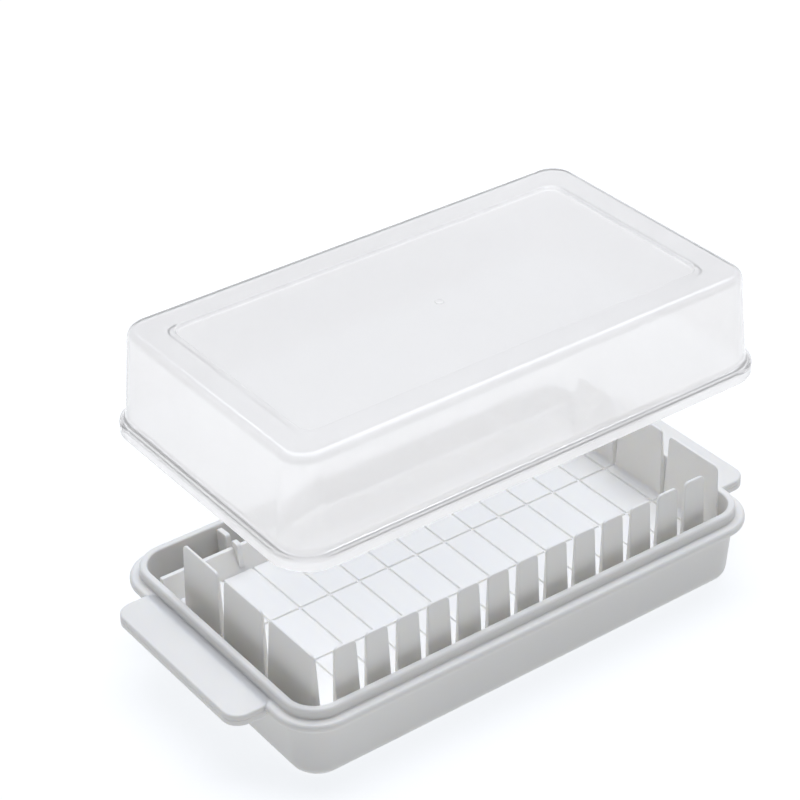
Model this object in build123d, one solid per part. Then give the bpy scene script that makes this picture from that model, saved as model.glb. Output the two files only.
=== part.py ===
from build123d import *
import math
import os

# A butter keeper with a knife guide: a tray, a slotted cutting guide that stands in it, and a
# clear lid, drawn lifted above the tray. Millimetres. X runs along the keeper, Y from front to
# back, Z up. The origin is on the table, under the middle of the tray.

# ---- the block of butter and how it is cut
slice_pitch = 10.0          # one slice, about 5 g once a row is cut in three
slice_count = 13            # whole slices, with a slot at each side of every one
end_margin = 3.5            # butter space beyond the first and the last slot
row_pitch = 21.2            # the two front rows
row_count = 3
back_row = 23.5             # the back row runs out to the foot of the back wall

# ---- cutting guide
guide_wall = 2.0            # comb wall at its foot
tab_draft = 2.0             # degrees, outer face of the comb
inner_draft = 1.0           # degrees, inner face of the comb
tab_height = 22.0           # comb above the deck
tab_round = 1.5             # top corners of each tab
slot_top = 3.1              # slice slots in the front, at the top of the comb
slot_foot = 2.0             # and at the deck
row_slot_top = 3.4          # row slots in the ends, a sharper V
row_slot_foot = 1.2
deck_height = 13.5          # top of the deck above the tray's floor
deck_thickness = 1.8
deck_fillet = 1.0           # inside, where the comb meets the deck
guide_corner = 2.5          # outside corner, in plan
groove_width = 0.9
groove_depth = 0.5
end_tab_gap = 5.0           # open deck between the last end tab and the back wall
back_wall_rise = 6.5
back_wall_run = 3.3         # how far its inner face leans back
back_wall_thickness = 1.4
back_wall_overhang = 1.8    # runs on past the comb at each end
back_wall_corner = 1.2
skirt_wall = 1.8            # legs and skirt under the deck

# ---- knife rests behind the back wall
rest_offset = 48.0          # from the middle, one at each end
rest_thickness = 1.6
rest_notch = 2.4
rest_notch_depth = 5.4
rest_notch_round = 1.15
rest_round = 0.4
rest_front_prong = 0.7      # behind the back wall's top
rest_rise = 1.4             # how far the rear prong slopes up above the back wall
rest_clearance = 0.4        # to the tray's wall

# ---- tray
front_gap = 1.0             # guide to tray wall, at the tray's floor
end_gap = 2.6
knife_gap = 6.4             # room for a butter knife behind the guide
tray_floor = 2.0
tray_wall = 2.0
wall_draft = 4.0            # degrees
tray_height = 24.5
tray_corner = 6.3           # inside, at the floor, in plan
floor_chamfer = 0.35        # inside, under the rest clearance
foot_fillet = 3.6           # outside, round the bottom
rim_wall = 2.2
rim_height = 3.0            # raised rim above the flange
flange_width = 2.9          # outside the rim
flange_thickness = 2.2

# ---- handles
handle_reach = 10.0         # beyond the flange
handle_width = 59.0
handle_corner = 5.0
handle_plate = 1.8
handle_lip = 1.6
handle_depth = 3.4          # plate and turned-down lip together

# ---- lid
lid_fit = 0.4               # skirt to rim, each side
lid_wall = 1.3
lid_seat_gap = 0.3          # above the rim: the skirt stands on the flange
lid_height = 31.0
lid_skirt = 3.3
lid_step = 1.5              # from the skirt in to the wall, at 45 degrees
lid_draft = 5.0             # degrees
lid_top_round = 2.6
panel_margin = 10.0         # flat border round the sunk panel
panel_depth = 1.2
panel_corner = 4.0
gate_radius = 1.3
gate_height = 0.3
lid_lift = 48.0             # how far above its seat the lid is drawn

edge_break = 0.5            # small chamfer on the rim, flange, handles and lid skirt
level_band = 0.001          # how near a height an edge must lie to be picked by it

# ---- sizes that follow
butter_length = slice_pitch * slice_count + 2 * end_margin
butter_width = row_pitch * (row_count - 1) + back_row
guide_length = butter_length + 2 * guide_wall
guide_width = guide_wall + butter_width + back_wall_run + back_wall_thickness
inner_length = guide_length + 2 * end_gap
inner_width = front_gap + guide_width + knife_gap
draft_slope = math.tan(math.radians(wall_draft))
flange_top = tray_height - rim_height
rim_spread = draft_slope * (tray_height - tray_floor)
rim_inner_length = inner_length + 2 * rim_spread
rim_inner_width = inner_width + 2 * rim_spread
rim_length = rim_inner_length + 2 * rim_wall
rim_width = rim_inner_width + 2 * rim_wall
rim_corner = tray_corner + rim_spread + rim_wall
flange_length = rim_length + 2 * flange_width
flange_depth = rim_width + 2 * flange_width
flange_corner = rim_corner + flange_width

guide_front = -inner_width / 2 + front_gap
butter_front = guide_front + guide_wall
butter_back = butter_front + butter_width
guide_back = guide_front + guide_width
deck_top = tray_floor + deck_height
comb_top = deck_top + tab_height
end_tab_back = butter_back - end_tab_gap
back_wall_top = deck_top + back_wall_rise

slot_places = [slice_pitch * (i - slice_count / 2) for i in range(slice_count + 1)]
row_places = [butter_front + row_pitch * i for i in range(1, row_count)]


def slab(length, width, corner, base, height, middle=0.0, taper=0.0):
    """A rounded rectangle drawn at the base height and pulled up, with a draft if wanted."""
    outline = Pos(0, middle, base) * RectangleRounded(length, width, corner)
    return extrude(outline, amount=height, taper=taper)


def edges_at(shape, height):
    """The edges that lie flat at one height."""
    return shape.edges().filter_by_position(Axis.Z, height - level_band, height + level_band)


# ------------------------------------------------------------------ tray

def tray_shell():
    """The drafted box with its flange and raised rim, still solid."""
    body_length = inner_length + 2 * tray_wall
    body_width = inner_width + 2 * tray_wall
    body_height = flange_top - flange_thickness
    body = slab(body_length, body_width, tray_corner + tray_wall, 0, body_height, taper=-wall_draft)
    body = fillet(edges_at(body, 0), foot_fillet)
    flange = slab(flange_length, flange_depth, flange_corner, body_height, flange_thickness)
    flange = chamfer(edges_at(flange, flange_top), edge_break)
    rim = slab(rim_length, rim_width, rim_corner, flange_top - flange_thickness,
               rim_height + flange_thickness)
    rim = chamfer(edges_at(rim, tray_height), edge_break)
    return body + flange + rim


def handle_plates():
    """Both lug handles: one plate across the tray with its edge turned down all round."""
    length = flange_length + 2 * handle_reach
    base = flange_top - handle_depth
    plate = slab(length, handle_width, handle_corner, base, handle_depth)
    plate = chamfer(edges_at(plate, flange_top), edge_break)
    hollow = slab(length - 2 * handle_lip, handle_width - 2 * handle_lip,
                  handle_corner - handle_lip, base, handle_depth - handle_plate)
    return plate - hollow


def tray():
    cavity = slab(inner_length, inner_width, tray_corner, tray_floor, tray_height - tray_floor,
                  taper=-wall_draft)
    cavity = chamfer(edges_at(cavity, tray_floor), floor_chamfer)
    return tray_shell() + handle_plates() - cavity


# ------------------------------------------------------------------ cutting guide

def butter_room(start):
    """The space inside the comb from one Y back, wider at the top and filleted at its foot."""
    plan = Pos(0, start, deck_top) * Rectangle(butter_length, 2 * guide_width,
                                               align=(Align.CENTER, Align.MIN))
    room = extrude(plan, amount=tab_height, taper=-inner_draft)
    return fillet(edges_at(room, deck_top), deck_fillet)


def tab(start, end, start_lean, end_lean):
    """One tab seen square on: each side leans in from the deck, the top corners are round."""
    face = make_face(Polyline((start, deck_top), (start + start_lean, comb_top),
                              (end - end_lean, comb_top), (end, deck_top), close=True))
    return fillet(face.vertices().group_by(Axis.Y)[-1], tab_round)


def front_tabs():
    """One tab for each slice, as bars through the front wall."""
    lean = (slot_top - slot_foot) / 2
    bars = Part()
    for place in slot_places[:-1]:
        face = tab(place + slot_foot / 2, place + slice_pitch - slot_foot / 2, lean, lean)
        bars += extrude(Plane.XZ * face, amount=guide_width, both=True)
    return bars


def end_tabs():
    """One tab for each row, as bars through both ends; the first takes in the front corner."""
    lean = (row_slot_top - row_slot_foot) / 2
    sides = [place + half * row_slot_foot for place in row_places for half in (-0.5, 0.5)]
    sides = [guide_front] + sides + [end_tab_back]
    leans = [tab_height * math.tan(math.radians(tab_draft))] + [lean] * (len(sides) - 2) + [0]
    bars = Part()
    for i in range(0, len(sides), 2):
        face = tab(sides[i], sides[i + 1], leans[i], leans[i + 1])
        bars += extrude(Plane.YZ * face, amount=guide_length, both=True)
    return bars


def comb():
    """The deck, and the tabs that stand round its front and its ends."""
    middle = (guide_front + guide_back) / 2
    deck = slab(guide_length, guide_width, guide_corner, deck_top - deck_thickness,
                deck_thickness, middle)
    block = slab(guide_length, guide_width, guide_corner, deck_top, tab_height, middle,
                 taper=tab_draft)
    front = (block - butter_room(butter_front)) & front_tabs()
    ends = (block - butter_room(guide_front - guide_wall)) & end_tabs()
    return deck + front + ends


def comb_feet():
    """The hollow skirt under the deck, which stands on the tray's floor."""
    middle = (guide_front + guide_back) / 2
    height = deck_height - deck_thickness
    outer = slab(guide_length, guide_width, guide_corner, tray_floor, height, middle)
    inner = slab(guide_length - 2 * skirt_wall, guide_width - 2 * skirt_wall,
                 guide_corner - skirt_wall, tray_floor, height, middle)
    return outer - inner


def back_wall():
    """The low wall behind the butter, with its inner face leaning back."""
    profile = Polyline((butter_back, deck_top), (butter_back + back_wall_run, back_wall_top),
                       (guide_back, back_wall_top), (guide_back, tray_floor),
                       (guide_back - skirt_wall, tray_floor),
                       (guide_back - skirt_wall, deck_top - deck_thickness),
                       (butter_back, deck_top - deck_thickness), close=True)
    half_length = guide_length / 2 + back_wall_overhang
    wall = extrude(make_face(Plane.YZ * profile), amount=half_length, both=True)
    ends = wall.edges().filter_by(Axis.Z).group_by(Axis.Y)[-1]
    return fillet(ends, back_wall_corner)


def tray_wall_at(height):
    """The inner face of the tray's back wall at a height above the table."""
    return inner_width / 2 + draft_slope * (height - tray_floor)


def knife_rest():
    """A notched plate that bridges the gap behind the guide and holds a knife on edge."""
    front = butter_back + back_wall_run
    notch_front = guide_back + rest_front_prong
    notch_back = notch_front + rest_notch
    rear_top = back_wall_top + rest_rise
    profile = Polyline((front, back_wall_top), (guide_back - skirt_wall, tray_floor),
                       (tray_wall_at(tray_floor) - rest_clearance, tray_floor),
                       (tray_wall_at(rear_top) - rest_clearance, rear_top),
                       (notch_back, back_wall_top), close=True)
    plate = extrude(make_face(Plane.YZ * profile), amount=rest_thickness / 2, both=True)
    notch = Pos(0, (notch_front + notch_back) / 2, back_wall_top) * Box(
        2 * rest_thickness, rest_notch, 2 * rest_notch_depth)
    notch = fillet(notch.edges().filter_by(Axis.X).group_by(Axis.Z)[0], rest_notch_round)
    plate -= notch
    tops = plate.edges().filter_by(Axis.X).filter_by_position(
        Axis.Z, back_wall_top - level_band, rear_top + level_band)
    return fillet(tops.sort_by(Axis.Y)[1:], rest_round)


def grooves():
    """The knife's run-out lines in the deck: one under each slot and one between rows."""
    middle = (butter_front + butter_back) / 2
    cutter = Part()
    for place in slot_places:
        cutter += Pos(place, middle, deck_top) * Box(groove_width, butter_width, 2 * groove_depth)
    for place in row_places:
        cutter += Pos(0, place, deck_top) * Box(butter_length, groove_width, 2 * groove_depth)
    return cutter


def cutting_guide():
    guide = comb() + comb_feet() + back_wall()
    for side in (-1, 1):
        guide += Pos(side * rest_offset, 0, 0) * knife_rest()
    return guide - grooves()


# ------------------------------------------------------------------ lid

def lid_walls(length, width, corner, base, height):
    """The drafted part of the lid above its step, as a solid block."""
    return slab(length, width, corner, base, height, taper=lid_draft)


def lid():
    skirt_length = rim_length + 2 * (lid_fit + lid_wall)
    skirt_width = rim_width + 2 * (lid_fit + lid_wall)
    skirt_corner = rim_corner + lid_fit + lid_wall
    wall_length = skirt_length - 2 * lid_step
    wall_width = skirt_width - 2 * lid_step
    wall_corner = skirt_corner - lid_step
    top = flange_top + lid_height
    step = flange_top + lid_skirt

    skirt = slab(skirt_length, skirt_width, skirt_corner, flange_top, lid_skirt)
    skirt = chamfer(edges_at(skirt, flange_top), edge_break)
    flare = slab(skirt_length, skirt_width, skirt_corner, step, lid_step, taper=45)
    walls = lid_walls(wall_length, wall_width, wall_corner, flange_top, lid_height)
    walls = fillet(edges_at(walls, top), lid_top_round)
    shell = skirt + flare + walls

    rim_room = slab(rim_length + 2 * lid_fit, rim_width + 2 * lid_fit, rim_corner + lid_fit,
                    flange_top, rim_height + lid_seat_gap)
    hollow = lid_walls(wall_length - 2 * lid_wall, wall_width - 2 * lid_wall,
                       wall_corner - lid_wall, flange_top, lid_height - lid_wall)
    hollow = chamfer(edges_at(hollow, top - lid_wall), lid_top_round - lid_wall / 2)

    inset = lid_height * math.tan(math.radians(lid_draft))
    panel_length = wall_length - 2 * (inset + panel_margin)
    panel_width = wall_width - 2 * (inset + panel_margin)
    panel = slab(panel_length, panel_width, panel_corner, top - panel_depth, 2 * panel_depth)
    pan_floor = slab(panel_length + 2 * lid_wall, panel_width + 2 * lid_wall,
                     panel_corner + lid_wall, top - lid_wall - panel_depth, panel_depth)
    gate = Pos(0, 0, top - panel_depth) * Cylinder(gate_radius, 2 * gate_height)

    cover = shell - rim_room - (hollow - pan_floor) - panel + gate
    return Pos(0, 0, lid_lift) * cover


# ------------------------------------------------------------------ files

os.makedirs("parts", exist_ok=True)
export_step(tray(), "parts/tray.step")
export_step(cutting_guide(), "parts/cutting_guide.step")
export_step(lid(), "parts/lid.step")
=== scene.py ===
import bpy
import math
import numpy as np
from mathutils import Matrix, Vector


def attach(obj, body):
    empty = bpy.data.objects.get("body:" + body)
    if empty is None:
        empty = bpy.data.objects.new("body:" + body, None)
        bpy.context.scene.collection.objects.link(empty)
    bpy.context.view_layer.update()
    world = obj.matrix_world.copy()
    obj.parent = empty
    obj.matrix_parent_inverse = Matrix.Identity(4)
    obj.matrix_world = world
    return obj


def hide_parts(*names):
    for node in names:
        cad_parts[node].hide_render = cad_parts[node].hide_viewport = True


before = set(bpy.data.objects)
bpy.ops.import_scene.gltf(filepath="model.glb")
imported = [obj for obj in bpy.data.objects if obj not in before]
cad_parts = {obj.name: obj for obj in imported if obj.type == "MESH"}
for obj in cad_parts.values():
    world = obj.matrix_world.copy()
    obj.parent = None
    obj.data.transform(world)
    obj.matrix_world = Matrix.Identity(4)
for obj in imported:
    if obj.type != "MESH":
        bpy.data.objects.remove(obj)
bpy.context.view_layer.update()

# ---------------------------------------------------------------- view
# A long lens looks down on the keeper past its front left corner, as a table-top camera does.
lens_mm = 110.665
sensor_mm = 36.0
camera_place = (-0.3375, -0.4468, 0.4296)
heading = math.radians(35.95)       # turned this far from straight back towards the right
dip = math.radians(32.81)           # looking down
roll = math.radians(-1.17)
nearest, farthest = 0.01, 60.0      # what the lens takes in, metres

forward = Vector((math.sin(heading) * math.cos(dip), math.cos(heading) * math.cos(dip),
                  -math.sin(dip)))
sideways = Vector((math.cos(heading), -math.sin(heading), 0.0))
upright = sideways.cross(forward)
camera_x = sideways * math.cos(roll) + upright * math.sin(roll)
camera_y = upright * math.cos(roll) - sideways * math.sin(roll)
camera = bpy.data.objects.new("camera", bpy.data.cameras.new("camera"))
camera.data.lens = lens_mm
camera.data.sensor_width = sensor_mm
camera.data.sensor_fit = "HORIZONTAL"
camera.data.clip_start = nearest
camera.data.clip_end = farthest
camera.matrix_world = Matrix.Translation(camera_place) @ Matrix(
    (camera_x, camera_y, -forward)).transposed().to_4x4()
bpy.context.scene.collection.objects.link(camera)
bpy.context.scene.camera = camera
bpy.context.scene.view_settings.view_transform = "Standard"


# ---------------------------------------------------------------- floor and light
# A light table of opal acrylic sheet under one wide soft box behind the keeper. The sheet glows,
# so that the shadow on it stays faint, and lights the keeper less than it is seen to glow. The
# far wall is seen white, and gives a dim light that is strongest low down.
def linear(code):
    """The linear colour, with alpha, of an sRGB hex colour such as #d8dadc."""
    parts = np.array([int(code[i:i + 2], 16) / 255.0 for i in (1, 3, 5)])
    parts = np.where(parts <= 0.04045, parts / 12.92, ((parts + 0.055) / 1.055) ** 2.4)
    return (*map(float, parts), 1.0)


def add_node(tree, kind, settings=(), **links):
    """One node with its settings, by input or property name, and links by input name."""
    made = tree.nodes.new(kind)
    for key, value in dict(settings).items():
        if isinstance(key, int) or key in made.inputs:
            made.inputs[key].default_value = value
        else:
            setattr(made, key, value)
    for key, source in links.items():
        made_key = int(key[1:]) if key[0] == "_" else key.replace("_", " ")
        tree.links.new(source, made.inputs[made_key])
    return made


floor_half = 20.0           # metres, so that its edge is never in view
floor_colour = "#939290"
floor_patch_colour = "#959492"
floor_patches = 3.0         # to the metre
floor_glow = "#f8fbff"
floor_glow_strength = 0.82
bounce_cut = 0.32           # how much less of the glow lights the keeper
sheet_roughness = 0.8

# Opal acrylic, cast and left matt: no highlight, and a tone that hardly changes across it.
sheet = bpy.data.materials.new("opal_acrylic_sheet")
sheet.use_nodes = True
sheet.node_tree.nodes.clear()
patches = add_node(sheet.node_tree, "ShaderNodeTexNoise", {"Scale": floor_patches, "Detail": 2.0})
tone = add_node(sheet.node_tree, "ShaderNodeMix", {
    "data_type": "RGBA", 6: linear(floor_colour), 7: linear(floor_patch_colour)},
    _0=patches.outputs["Fac"])
ray = add_node(sheet.node_tree, "ShaderNodeLightPath")
glow = add_node(sheet.node_tree, "ShaderNodeMapRange", {
    "To Min": floor_glow_strength, "To Max": floor_glow_strength - bounce_cut},
    Value=ray.outputs["Is Diffuse Ray"])
sheet_shader = add_node(sheet.node_tree, "ShaderNodeBsdfPrincipled", {
    "Roughness": sheet_roughness, "Specular IOR Level": 0.0,
    "Emission Color": linear(floor_glow)},
    Base_Color=tone.outputs[2], Emission_Strength=glow.outputs["Result"])
add_node(sheet.node_tree, "ShaderNodeOutputMaterial", Surface=sheet_shader.outputs["BSDF"])

floor_mesh = bpy.data.meshes.new("floor")
floor_corners = [(-floor_half, -floor_half, 0.0), (floor_half, -floor_half, 0.0),
                 (floor_half, floor_half, 0.0), (-floor_half, floor_half, 0.0)]
floor_mesh.from_pydata(floor_corners, [], [(0, 1, 2, 3)])
floor_mesh.materials.append(sheet)
floor = bpy.data.objects.new("floor", floor_mesh)
bpy.context.scene.collection.objects.link(floor)

soft_box_place = (0.38, 0.42, 1.60)
soft_box_aim = (0.0, 0.0, 0.03)
soft_box_size = (2.0, 1.4)
soft_box_watts = 28.5
soft_box_colour = "#f3f7ff"
soft_box = bpy.data.objects.new("soft_box", bpy.data.lights.new("soft_box", "AREA"))
soft_box.data.shape = "RECTANGLE"
soft_box.data.size, soft_box.data.size_y = soft_box_size
soft_box.data.energy = soft_box_watts
soft_box.data.color = linear(soft_box_colour)[:3]
soft_box.matrix_world = Matrix.Translation(soft_box_place) @ (
    Vector(soft_box_aim) - Vector(soft_box_place)).to_track_quat("-Z", "Y").to_matrix().to_4x4()
bpy.context.scene.collection.objects.link(soft_box)

low, high = 0.10, 0.45      # between these heights, as sines, the light falls off
low_light, high_light = 0.315, 0.24
wall_white = 1.0            # the wall as it is seen, whatever light it gives
wall_colour = "#f6f8ff"
room = bpy.data.worlds.new("room")
room.use_nodes = True
room.node_tree.nodes.clear()
direction = add_node(room.node_tree, "ShaderNodeTexCoord")
height = add_node(room.node_tree, "ShaderNodeSeparateXYZ", Vector=direction.outputs["Generated"])
bright = add_node(room.node_tree, "ShaderNodeMapRange", {
    "interpolation_type": "SMOOTHSTEP", "From Min": low, "From Max": high,
    "To Min": low_light, "To Max": high_light}, Value=height.outputs["Z"])
look = add_node(room.node_tree, "ShaderNodeLightPath")
seen = add_node(room.node_tree, "ShaderNodeMath", {"operation": "MAXIMUM"},
                _0=look.outputs["Is Camera Ray"], _1=look.outputs["Is Transmission Ray"])
shown = add_node(room.node_tree, "ShaderNodeMix", {"data_type": "FLOAT", 3: wall_white},
                 _0=seen.outputs["Value"], _2=bright.outputs["Result"])
far_wall = add_node(room.node_tree, "ShaderNodeBackground", {"Color": linear(wall_colour)},
                    Strength=shown.outputs[0])
add_node(room.node_tree, "ShaderNodeOutputWorld", Surface=far_wall.outputs["Background"])
bpy.context.scene.world = room


# ---------------------------------------------------------------- tray
# Injection-moulded white polypropylene: a drafted box with a raised rim for the lid, a flange
# round it and a lug handle at each end whose edge is turned down.
def soften(points, radii, steps=4):
    """A polyline with each corner replaced by an arc of its radius.

    The arc's centre lies on the corner's bisector at radius / sin(half the angle), and its
    points turn evenly from one tangent point to the other. A radius of 0 leaves the corner.
    """
    points = np.asarray(points, float)
    radii = np.asarray(radii, float)[:, None]
    back = np.roll(points, 1, axis=0) - points
    ahead = np.roll(points, -1, axis=0) - points
    back /= np.linalg.norm(back, axis=1, keepdims=True)
    ahead /= np.linalg.norm(ahead, axis=1, keepdims=True)
    half = np.arccos(np.clip((back * ahead).sum(1, keepdims=True), -0.9999, 0.9999)) / 2
    bisector = back + ahead
    bisector /= np.maximum(np.linalg.norm(bisector, axis=1, keepdims=True), 1e-9)
    centre = points + bisector * radii / np.sin(half)
    start = points + back * radii / np.tan(half) - centre
    end = points + ahead * radii / np.tan(half) - centre
    turn = (math.pi - 2 * half)[:, None]
    share = np.linspace(0, 1, steps + 1)[None, :, None]
    arc = centre[:, None] + (np.sin((1 - share) * turn) * start[:, None]
                             + np.sin(share * turn) * end[:, None]) / np.sin(turn)
    line = arc.reshape(-1, 2)
    moved = np.linalg.norm(line - np.roll(line, 1, axis=0), axis=1) > 1e-6
    return line[moved]


def round_rectangles(half_length, half_width, corner, height, middle=(0.0, 0.0), arc_points=14):
    """Rings of points, one per height: each is a rounded rectangle lying flat, whose corners are
    quarter circles about centres one radius in from both sides."""
    angles = np.linspace(0, math.pi / 2, arc_points)
    angles = (angles[None, :] + np.arange(4)[:, None] * math.pi / 2).ravel()
    side_x = np.repeat([1, -1, -1, 1], arc_points)
    side_y = np.repeat([1, 1, -1, -1], arc_points)
    a, b, r, z = (np.broadcast_to(v, np.shape(height))[:, None]
                  for v in (half_length, half_width, corner, height))
    x = middle[0] + side_x * (a - r) + r * np.cos(angles)
    y = middle[1] + side_y * (b - r) + r * np.sin(angles)
    return np.stack([x, y, np.broadcast_to(z, x.shape)], axis=-1)


def moulding(name, shells, material, body):
    """One object made of closed shells in millimetres. A shell is rows of rings, joined by quads
    and closed by its first and last ring; its faces are turned outwards by its signed volume."""
    points, faces = [], []
    start = 0
    for rings in shells:
        rows, columns = rings.shape[:2]
        index = np.arange(rows * columns).reshape(rows, columns)
        beside = np.roll(index, -1, axis=1)
        quads = np.stack([index[:-1], beside[:-1], beside[1:], index[1:]], axis=-1).reshape(-1, 4)
        flat = rings.reshape(-1, 3)
        a, b, c, d = (flat[quads[:, i]] for i in range(4))
        volume = (np.cross(a, b) * c).sum() + (np.cross(a, c) * d).sum()
        for cap in (rings[0][::-1], rings[-1]):
            hub = cap.mean(axis=0)
            volume += (np.cross(hub, cap) * np.roll(cap, -1, axis=0)).sum()
        shell_faces = quads.tolist() + [index[0][::-1].tolist(), index[-1].tolist()]
        if volume < 0:
            shell_faces = [f[::-1] for f in shell_faces]
        faces += [[start + v for v in f] for f in shell_faces]
        points.append(flat)
        start += len(flat)
    mesh = bpy.data.meshes.new(name)
    mesh.from_pydata(np.concatenate(points) / 1000.0, [], faces)
    mesh.polygons.foreach_set("use_smooth", np.ones(len(mesh.polygons), bool))
    mesh.set_sharp_from_angle(angle=math.radians(40))
    mesh.materials.append(material)
    made = bpy.data.objects.new(name, mesh)
    bpy.context.scene.collection.objects.link(made)
    normals = made.modifiers.new("even_shading", "WEIGHTED_NORMAL")
    normals.keep_sharp = True
    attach(made, body)
    return made


def white_polypropylene(name, shade, shadow_shade):
    """Polypropylene, moulded white and satin: light goes in a little, so that thin edges glow
    and hollows turn warm, and highlights are wide and soft. The mould's spark-eroded grain is
    drawn at 0.35 mm, coarser than the real one, so that it shows at all."""
    grain_mm, grain_depth, grain_strength = 0.35, 0.00005, 0.06
    cloud_mm = 18.0                     # slow change of tone and gloss over a wall
    glossy_part, dull_part = 0.34, 0.46
    light_depth = 0.0014                # metres
    red_green_blue_depth = (1.0, 0.90, 0.72)
    made = bpy.data.materials.new(name)
    made.use_nodes = True
    tree = made.node_tree
    tree.nodes.clear()
    place = add_node(tree, "ShaderNodeTexCoord")
    cloud = add_node(tree, "ShaderNodeTexNoise", {
        "Scale": 1000.0 / cloud_mm, "Detail": 3.0, "Roughness": 0.45},
        Vector=place.outputs["Object"])
    body = add_node(tree, "ShaderNodeMix", {
        "data_type": "RGBA", 6: linear(shade), 7: linear(shadow_shade)}, _0=cloud.outputs["Fac"])
    satin = add_node(tree, "ShaderNodeMapRange", {"To Min": glossy_part, "To Max": dull_part},
                     Value=cloud.outputs["Fac"])
    grain = add_node(tree, "ShaderNodeTexNoise", {"Scale": 1000.0 / grain_mm, "Detail": 2.0},
                     Vector=place.outputs["Object"])
    bump = add_node(tree, "ShaderNodeBump", {
        "Strength": grain_strength, "Distance": grain_depth}, Height=grain.outputs["Fac"])
    shader = add_node(tree, "ShaderNodeBsdfPrincipled", {
        "IOR": 1.49, "Specular IOR Level": 0.4, "Subsurface Weight": 0.4,
        "Subsurface Scale": light_depth, "Subsurface Radius": red_green_blue_depth},
        Base_Color=body.outputs[2], Roughness=satin.outputs["Result"],
        Normal=bump.outputs["Normal"])
    add_node(tree, "ShaderNodeOutputMaterial", Surface=shader.outputs["BSDF"])
    return made


tray_shade, tray_shadow_shade = "#f1f0ed", "#efeeeb"
tray_plastic = white_polypropylene("tray_white_polypropylene", tray_shade, tray_shadow_shade)

inside_half_length = 73.1
inside_half_width = 40.0
inside_corner = 6.3
tray_floor = 2.0
rim_top = 24.5
flange_top, flange_underside = 21.5, 19.3
tray_profile = np.array([           # outward from the inside of the floor, height, rounding
    (-5.8, tray_floor, 0.0),
    (0.0, tray_floor, 0.6),
    (1.573, rim_top, 0.6),          # rim, inside
    (3.773, rim_top, 0.8),          # rim, outside
    (3.773, flange_top, 0.35),
    (6.673, flange_top, 1.1),       # flange
    (6.673, flange_underside, 0.5),
    (3.35, flange_underside, 0.4),
    (2.0, 0.0, 3.6),                # foot
    (-5.8, 0.0, 0.0)])
tray_line = soften(tray_profile[:, :2], tray_profile[:, 2], steps=5)
tray_out, tray_z = tray_line.T
tray_shell = round_rectangles(inside_half_length + tray_out, inside_half_width + tray_out,
                              inside_corner + tray_out, tray_z)

handle_middle = 82.69
handle_half_length = 7.083
handle_half_width = 29.5
handle_corner = 5.0
handle_top = 21.52                  # just over the flange, which it runs into
lip_foot = 18.1                     # of the edge that is turned down
plate_underside = 19.7
handle_profile = np.array([         # outward from the handle's edge, height, rounding
    (-4.7, handle_top, 0.0),
    (0.0, handle_top, 0.6),
    (0.0, 20.0, 0.0),
    (-0.12, 19.9, 0.0),             # parting line of the mould
    (0.0, 19.8, 0.0),
    (0.0, lip_foot, 0.35),
    (-1.6, lip_foot, 0.35),
    (-1.6, plate_underside, 0.4),
    (-4.7, plate_underside, 0.0)])
handle_out, handle_z = soften(handle_profile[:, :2], handle_profile[:, 2]).T
handles = [round_rectangles(handle_half_length + handle_out, handle_half_width + handle_out,
                            handle_corner + handle_out, handle_z, (side * handle_middle, 0.0))
           for side in (-1, 1)]
tray = moulding("tray_moulding", [tray_shell] + handles, tray_plastic, "tray")
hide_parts("tray")

# ---------------------------------------------------------------- guide: deck
# The cutting guide is one white moulding that stands in the tray. Its deck carries the butter
# and is crossed by the knife's run-out grooves; a skirt under its edge stands on the tray floor.
guide_shade, guide_shadow_shade = "#f9f7f3", "#f8f6f2"
guide_plastic = white_polypropylene("guide_white_polypropylene", guide_shade, guide_shadow_shade)

guide_half_length = 70.5
guide_half_width = 36.3
guide_corner = 2.5
guide_middle = (0.0, -2.7)
deck_height = 15.5
deck_foot = 13.7                    # the deck's moulded underside
skirt_rim = 15.49                   # a hair under the deck, which lies on it
least_corner = 0.3
skirt_profile = np.array([          # outward from the guide's edge, height, rounding
    (-3.9, 14.6, 0.0),
    (-1.6, 14.6, 0.0),
    (-1.6, skirt_rim, 0.0),
    (-0.063, skirt_rim, 0.25),
    (0.0, deck_foot, 0.0),
    (0.0, tray_floor, 0.3),
    (-1.8, tray_floor, 0.3),
    (-1.8, deck_foot, 0.5),
    (-3.9, deck_foot, 0.0)])
skirt_out, skirt_z = soften(skirt_profile[:, :2], skirt_profile[:, 2]).T
skirt = round_rectangles(guide_half_length + skirt_out, guide_half_width + skirt_out,
                         np.maximum(guide_corner + skirt_out, least_corner), skirt_z, guide_middle)

slice_pitch = 10.0                  # one slice of butter
slot_count = 14
slot_places = slice_pitch * (np.arange(slot_count) - (slot_count - 1) / 2)
row_places = np.array([-15.8, 5.4])
groove_half = 0.45
groove_side = 0.12                  # how wide its steep side is, seen from above
groove_depth = 0.5
crossing_fade = 0.7                 # where two grooves cross they are no deeper than one
lip_place = 0.72                    # of the swelling beside a groove, from its middle
lip_spread = 0.22
lip_height = 0.1
deck_x = 69.0
deck_front, deck_back = -37.5, 29.5
groove_front, groove_back = -37.0, 28.9
groove_end = 0.1                    # length of the slope at a groove's end
deck_underside = 14.2
near_groove = np.array([-1.6, -1.1, -0.9, -0.72, -0.56, -0.45, -0.36, -0.3, 0.0,
                        0.3, 0.36, 0.45, 0.56, 0.72, 0.9, 1.1, 1.6])


def across_grooves(distance):
    """How far a point is down a groove, 0 to 1, and how far up the lip beside it, by its distance
    from the groove's middle: a flat bottom with steep sides, then a low rounded swelling."""
    down = np.clip((groove_half - np.abs(distance)) / groove_side, 0, 1)
    lip = np.exp(-((np.abs(distance) - lip_place) / lip_spread) ** 2) * (1 - down)
    return down, lip


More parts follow.
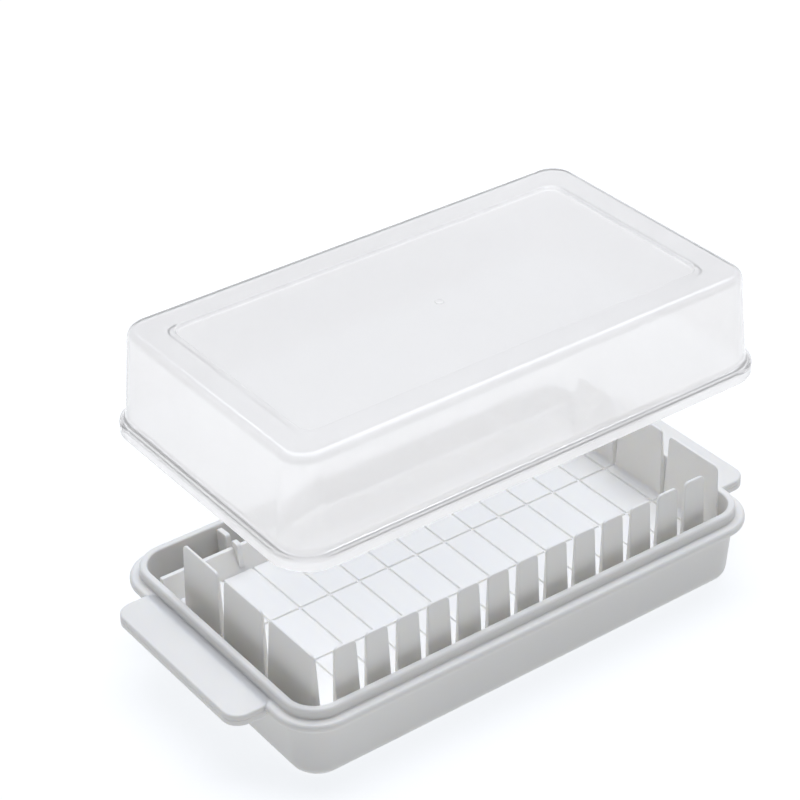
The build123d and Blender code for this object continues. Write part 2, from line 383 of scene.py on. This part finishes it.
along_x = np.sort(np.concatenate([
    (slot_places[:, None] + near_groove).ravel(), [-deck_x, deck_x]]))
along_y = np.sort(np.concatenate([
    (row_places[:, None] + near_groove).ravel(),
    [deck_front, groove_front, groove_front + groove_end, -30.0, 20.0,
     groove_back - groove_end, groove_back, deck_back]]))
down_x, lip_x = (v.max(axis=0)[None, :] for v in across_grooves(along_x - slot_places[:, None]))
down_y, lip_y = (v.max(axis=0)[:, None] for v in across_grooves(along_y - row_places[:, None]))
inside_y = ((along_y > groove_front + groove_end / 2)
            & (along_y < groove_back - groove_end / 2))[:, None]
down = np.maximum(down_x, down_y) * (1 - crossing_fade * down_x * down_y)
lips = np.maximum(lip_x, lip_y) * (1 - np.maximum(down_x, down_y))
deck_z = deck_height + inside_y * (lips * lip_height - down * groove_depth)
top_x, top_y = np.meshgrid(along_x, along_y)
top = np.stack([top_x, top_y, deck_z], axis=-1)
under = top[:, [-1, 0]].copy()
under[:, :, 2] = deck_underside
deck = np.concatenate([top, under], axis=1)

guide_base = moulding("guide_deck", [skirt, deck], guide_plastic, "cutting_guide")
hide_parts("cutting_guide")

# ---------------------------------------------------------------- guide: comb
# Tabs stand round the front and both ends of the deck, with a V slot between each two that
# steers the knife. Each is drafted on both faces, round on top and runs into the deck.
tab_height = 22.0
tab_wall = 2.0
tab_round = 1.5
tab_edge, least_edge = 0.26, 0.03
outer_draft = math.tan(math.radians(2))
inner_draft = math.tan(math.radians(1))
slot_foot, slot_top = 2.0, 3.1
row_slot_foot, row_slot_top = 1.2, 3.4
end_tab_back = 23.9
deck_fillet = 1.0
front_y = -39.0

# The rings' heights over the deck: one sunk into it, close ones up its fillet, two on the way
# and then round the crown.
crown = tab_height - tab_round
rise = np.concatenate([[-0.6, 0.0, 0.06, 0.15, 0.3, 0.5, 0.75, 1.0, 6.0, 13.0],
                       crown + tab_round * np.sin(np.linspace(0, math.pi / 2, 12))])
level = np.maximum(rise, 0.0)


def fallen_in(radius, height):
    """How far a quarter circle has come in, at a height above its start."""
    return radius - np.sqrt(radius ** 2 - np.clip(height, 0, radius) ** 2)


def tab(start, end, start_lean, end_lean, corner=0.0):
    """A tab between two places along the comb, with how far its sides lean in by the top. Its
    section at each height is closed by four arcs, and both its crown's corners are round. Where
    the wall turns the guide's corner, the first arc has that radius and meets the inner face
    early. The rings hold the place along the comb, the place outwards from its edge and Z."""
    edge_in = fallen_in(tab_edge, level - (tab_height - tab_edge))
    low = start + start_lean * level / tab_height + fallen_in(tab_round, level - crown)
    high = end - end_lean * level / tab_height - fallen_in(tab_round, level - crown)
    outer = -outer_draft * level - edge_in
    inner = -tab_wall + inner_draft * level + edge_in - fallen_in(deck_fillet, deck_fillet - level)
    edge = np.maximum(tab_edge - edge_in, least_edge)
    big, turn, tip = edge, np.full(level.shape, math.pi / 2), low + edge
    if corner:
        big = corner - outer_draft * level - edge_in
        turn = np.arccos((big - outer + inner + edge) / (big - edge))
        tip = low + big - (big - edge) * np.sin(turn)
    half_turn, whole = np.full(level.shape, math.pi), np.full(level.shape, 2 * math.pi)
    arcs = ((outer - big, low + big, big, 0 * turn, turn, 10 if corner else 4),
            (inner + edge, tip, edge, turn, half_turn, 4),
            (inner + edge, high - edge, edge, half_turn, 1.5 * half_turn, 4),
            (outer - edge, high - edge, edge, 1.5 * half_turn, whole, 4))
    out, along = [], []
    for centre_out, centre_along, radius, begin, finish, steps in arcs:
        angle = begin[:, None] + (finish - begin)[:, None] * np.linspace(0, 1, steps)
        out.append(centre_out[:, None] + radius[:, None] * np.cos(angle))
        along.append(centre_along[:, None] - radius[:, None] * np.sin(angle))
    out, along = np.hstack(out), np.hstack(along)
    z = np.broadcast_to((deck_height + rise)[:, None], out.shape)
    return np.stack([along, out, z], axis=-1)


tabs = []
half_slot, slot_lean = slot_foot / 2, (slot_top - slot_foot) / 2
for slot in slot_places[:-1]:
    along, out, z = np.moveaxis(
        tab(slot + half_slot, slot + slice_pitch - half_slot, slot_lean, slot_lean), -1, 0)
    tabs.append(np.stack([along, front_y - out, z], axis=-1))
half_slot, row_lean = row_slot_foot / 2, (row_slot_top - row_slot_foot) / 2
first_row, second_row = row_places
end_tabs = (
    tab(front_y, first_row - half_slot, outer_draft * tab_height, row_lean, guide_corner),
    tab(first_row + half_slot, second_row - half_slot, row_lean, row_lean),
    tab(second_row + half_slot, end_tab_back, row_lean, 0.0))
for rings in end_tabs:
    along, out, z = np.moveaxis(rings, -1, 0)
    for side in (-1, 1):
        tabs.append(np.stack([side * (guide_half_length + out), along, z], axis=-1))
comb = moulding("guide_comb", tabs, guide_plastic, "cutting_guide")

# ---------------------------------------------------------------- guide: back wall and rests
# A low wall leans back behind the butter. Two notched plates stand through it and cross the gap
# behind, and a knife can be stood on edge in their notches.
def inset(outline, amount):
    """A closed outline moved inwards by an amount, along the normal at each point. The normal
    is square to the line between the two points beside it, and the sign of the outline's area
    says which way round it runs."""
    step = np.roll(outline, -1, axis=0) - np.roll(outline, 1, axis=0)
    normal = np.stack([-step[:, 1], step[:, 0]], axis=-1)
    normal /= np.linalg.norm(normal, axis=1, keepdims=True)
    (a, b), (a_next, b_next) = outline.T, np.roll(outline, -1, axis=0).T
    area = (a * b_next - b * a_next).sum()
    return outline + normal * amount * np.sign(area)


def plate_across_x(outline, left, right, edge):
    """A plate between two places on X, drawn in Y and Z. Its outline is drawn in along a
    quarter circle at each face, which rounds its edges over."""
    quarter = np.linspace(0, math.pi / 2, 4)
    over = edge * (1 - np.sin(quarter))
    deep = edge * (1 - np.cos(quarter))
    x = np.concatenate([left + deep, right - deep[::-1]])
    rows = np.array([inset(outline, v) for v in np.concatenate([over, over[::-1]])])
    return np.concatenate([np.broadcast_to(x[:, None, None], rows.shape[:2] + (1,)), rows], axis=2)


wall_top = 22.0
wall_front, wall_back = 31.8, 33.6  # of its lower part, on Y
wall_half_length = 72.3
wall_edge = 0.3
wall_profile = np.array([           # Y, height, rounding
    (groove_back, deck_height, 0.0),
    (32.2, wall_top, 0.35),
    (wall_back, wall_top, 0.45),
    (wall_back, tray_floor, 0.2),
    (wall_front, tray_floor, 0.2),
    (wall_front, deck_foot, 0.3),
    (groove_back, deck_foot, 0.0)])
wall_outline = soften(wall_profile[:, :2], wall_profile[:, 2])

rest_places = (-48.0, 48.0)
rest_half = 0.8                     # half its thickness
rest_edge = 0.25
notch_foot = 17.6
rest_root = 14.4                    # in the thickness of the deck
rest_profile = np.array([           # Y, height, rounding
    (29.4, rest_root, 0.0),
    (29.4, 16.0, 0.6),
    (30.3, 24.0, 1.0),              # front prong
    (33.2, 24.2, 0.7),
    (34.1, notch_foot, 0.7),
    (35.9, notch_foot, 0.8),
    (36.0, 24.1, 0.9),              # rear prong
    (41.05, 23.8, 0.9),
    (39.6, tray_floor, 0.3),
    (32.6, tray_floor, 0.0),
    (32.6, rest_root, 0.0)])
rest_outline = soften(rest_profile[:, :2], rest_profile[:, 2])
wall_parts = [plate_across_x(wall_outline, -wall_half_length, wall_half_length, wall_edge)]
wall_parts += [plate_across_x(rest_outline, x - rest_half, x + rest_half, rest_edge)
               for x in rest_places]
back_wall = moulding("guide_back_wall_and_rests", wall_parts, guide_plastic, "cutting_guide")

# ---------------------------------------------------------------- lid
# A clear styrene moulding, faintly milky. It has drafted walls on a flared skirt that goes over
# the tray's rim, a sunk panel on top and the mould's gate mark in the middle.
flow_mm = 30.0                      # ripples that the melt leaves as it flows
ripple_strength, ripple_depth = 0.05, 0.0002
clearest, haziest = 0.02, 0.05      # roughness
glass_shade, glass_shadow_shade = "#f6f6f5", "#f4f4f3"
milk_shade, milk_shadow_shade = "#fcfaf8", "#faf8f6"
milk_part = 0.58                    # of the light, at each face
thrown_back = 0.28                  # of what the milk takes; the rest goes on through
styrene_ior = 1.5
sheen_shade, sheen_roughness = "#ffffff", 0.05

# Styrene, moulded against a polished tool: thin clear walls whose edges draw bright and dark
# lines, a milkiness that hides what lies behind two walls, and a sharp sheen at grazing angles.
clear = bpy.data.materials.new("clear_styrene")
clear.use_nodes = True
clear_tree = clear.node_tree
clear_tree.nodes.clear()
clear_place = add_node(clear_tree, "ShaderNodeTexCoord")
flow = add_node(clear_tree, "ShaderNodeTexNoise", {"Scale": 1000.0 / flow_mm, "Detail": 2.0},
                Vector=clear_place.outputs["Object"])
haze = add_node(clear_tree, "ShaderNodeMapRange", {"To Min": clearest, "To Max": haziest},
                Value=flow.outputs["Fac"])
ripple = add_node(clear_tree, "ShaderNodeBump", {
    "Strength": ripple_strength, "Distance": ripple_depth}, Height=flow.outputs["Fac"])
clear_tint = add_node(clear_tree, "ShaderNodeMix", {
    "data_type": "RGBA", 6: linear(glass_shade), 7: linear(glass_shadow_shade)},
    _0=flow.outputs["Fac"])
milk_tint = add_node(clear_tree, "ShaderNodeMix", {
    "data_type": "RGBA", 6: linear(milk_shade), 7: linear(milk_shadow_shade)},
    _0=flow.outputs["Fac"])
clear_part = add_node(clear_tree, "ShaderNodeBsdfPrincipled", {
    "IOR": styrene_ior, "Transmission Weight": 1.0}, Base_Color=clear_tint.outputs[2],
    Roughness=haze.outputs["Result"], Normal=ripple.outputs["Normal"])
light_through = add_node(clear_tree, "ShaderNodeBsdfTranslucent", Color=milk_tint.outputs[2])
light_back = add_node(clear_tree, "ShaderNodeBsdfDiffuse", Color=milk_tint.outputs[2])
milk = add_node(clear_tree, "ShaderNodeMixShader", {"Fac": thrown_back},
                _1=light_through.outputs["BSDF"], _2=light_back.outputs["BSDF"])
sheen = add_node(clear_tree, "ShaderNodeBsdfGlossy", {
    "Color": linear(sheen_shade), "Roughness": sheen_roughness})
grazing = add_node(clear_tree, "ShaderNodeFresnel", {"IOR": styrene_ior})
skin = add_node(clear_tree, "ShaderNodeMixShader", Fac=grazing.outputs["Fac"],
                _1=milk.outputs["Shader"], _2=sheen.outputs["BSDF"])
milky = add_node(clear_tree, "ShaderNodeMixShader", {"Fac": milk_part},
                 _1=clear_part.outputs["BSDF"], _2=skin.outputs["Shader"])
add_node(clear_tree, "ShaderNodeOutputMaterial", Surface=milky.outputs["Shader"])

skirt_half_length = 78.573
skirt_half_width = 45.473
skirt_corner = 11.773
panel_corner = 4.0
lid_top = 100.5                     # held 48 mm above its seat
panel_top = 99.3
skirt_bottom = 69.5
rim_room = 72.8                     # the skirt's step, which clears the tray's rim
lid_profile = np.array([            # outward from the skirt's edge, height, rounding
    (-14.9, panel_top, 0.0),
    (-14.4, panel_top, 0.45),
    (-14.2, lid_top, 0.5),
    (-4.21, lid_top, 2.6),          # top edge
    (-1.93, 74.4, 3.0),
    (0.0, 72.7, 1.5),               # flare down to the skirt
    (0.0, skirt_bottom, 0.45),
    (-1.3, skirt_bottom, 0.35),
    (-1.3, rim_room, 0.4),
    (-3.09, rim_room, 0.3),
    (-5.36, 99.2, 1.9),             # inside of the top
    (-12.9, 99.2, 0.4),
    (-13.1, 98.0, 0.4),
    (-14.9, 98.0, 0.0)])
lid_out, lid_z = soften(lid_profile[:, :2], lid_profile[:, 2], steps=6).T
lid_shell = round_rectangles(skirt_half_length + lid_out, skirt_half_width + lid_out,
                             np.maximum(skirt_corner + lid_out, panel_corner), lid_z,
                             arc_points=18)
gate_radius = 1.3
gate_rise = panel_top + np.array([-0.5, 0.0, 0.15, 0.25, 0.3])
gate_radii = gate_radius * np.array([1.0, 1.0, 0.93, 0.7, 0.35])
gate = round_rectangles(gate_radii, gate_radii, gate_radii, gate_rise, arc_points=6)
lid = moulding("lid_moulding", [lid_shell, gate], clear, "lid")
lid.visible_shadow = False          # light reaches the comb as through clear plastic
lid.visible_diffuse = False
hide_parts("lid")
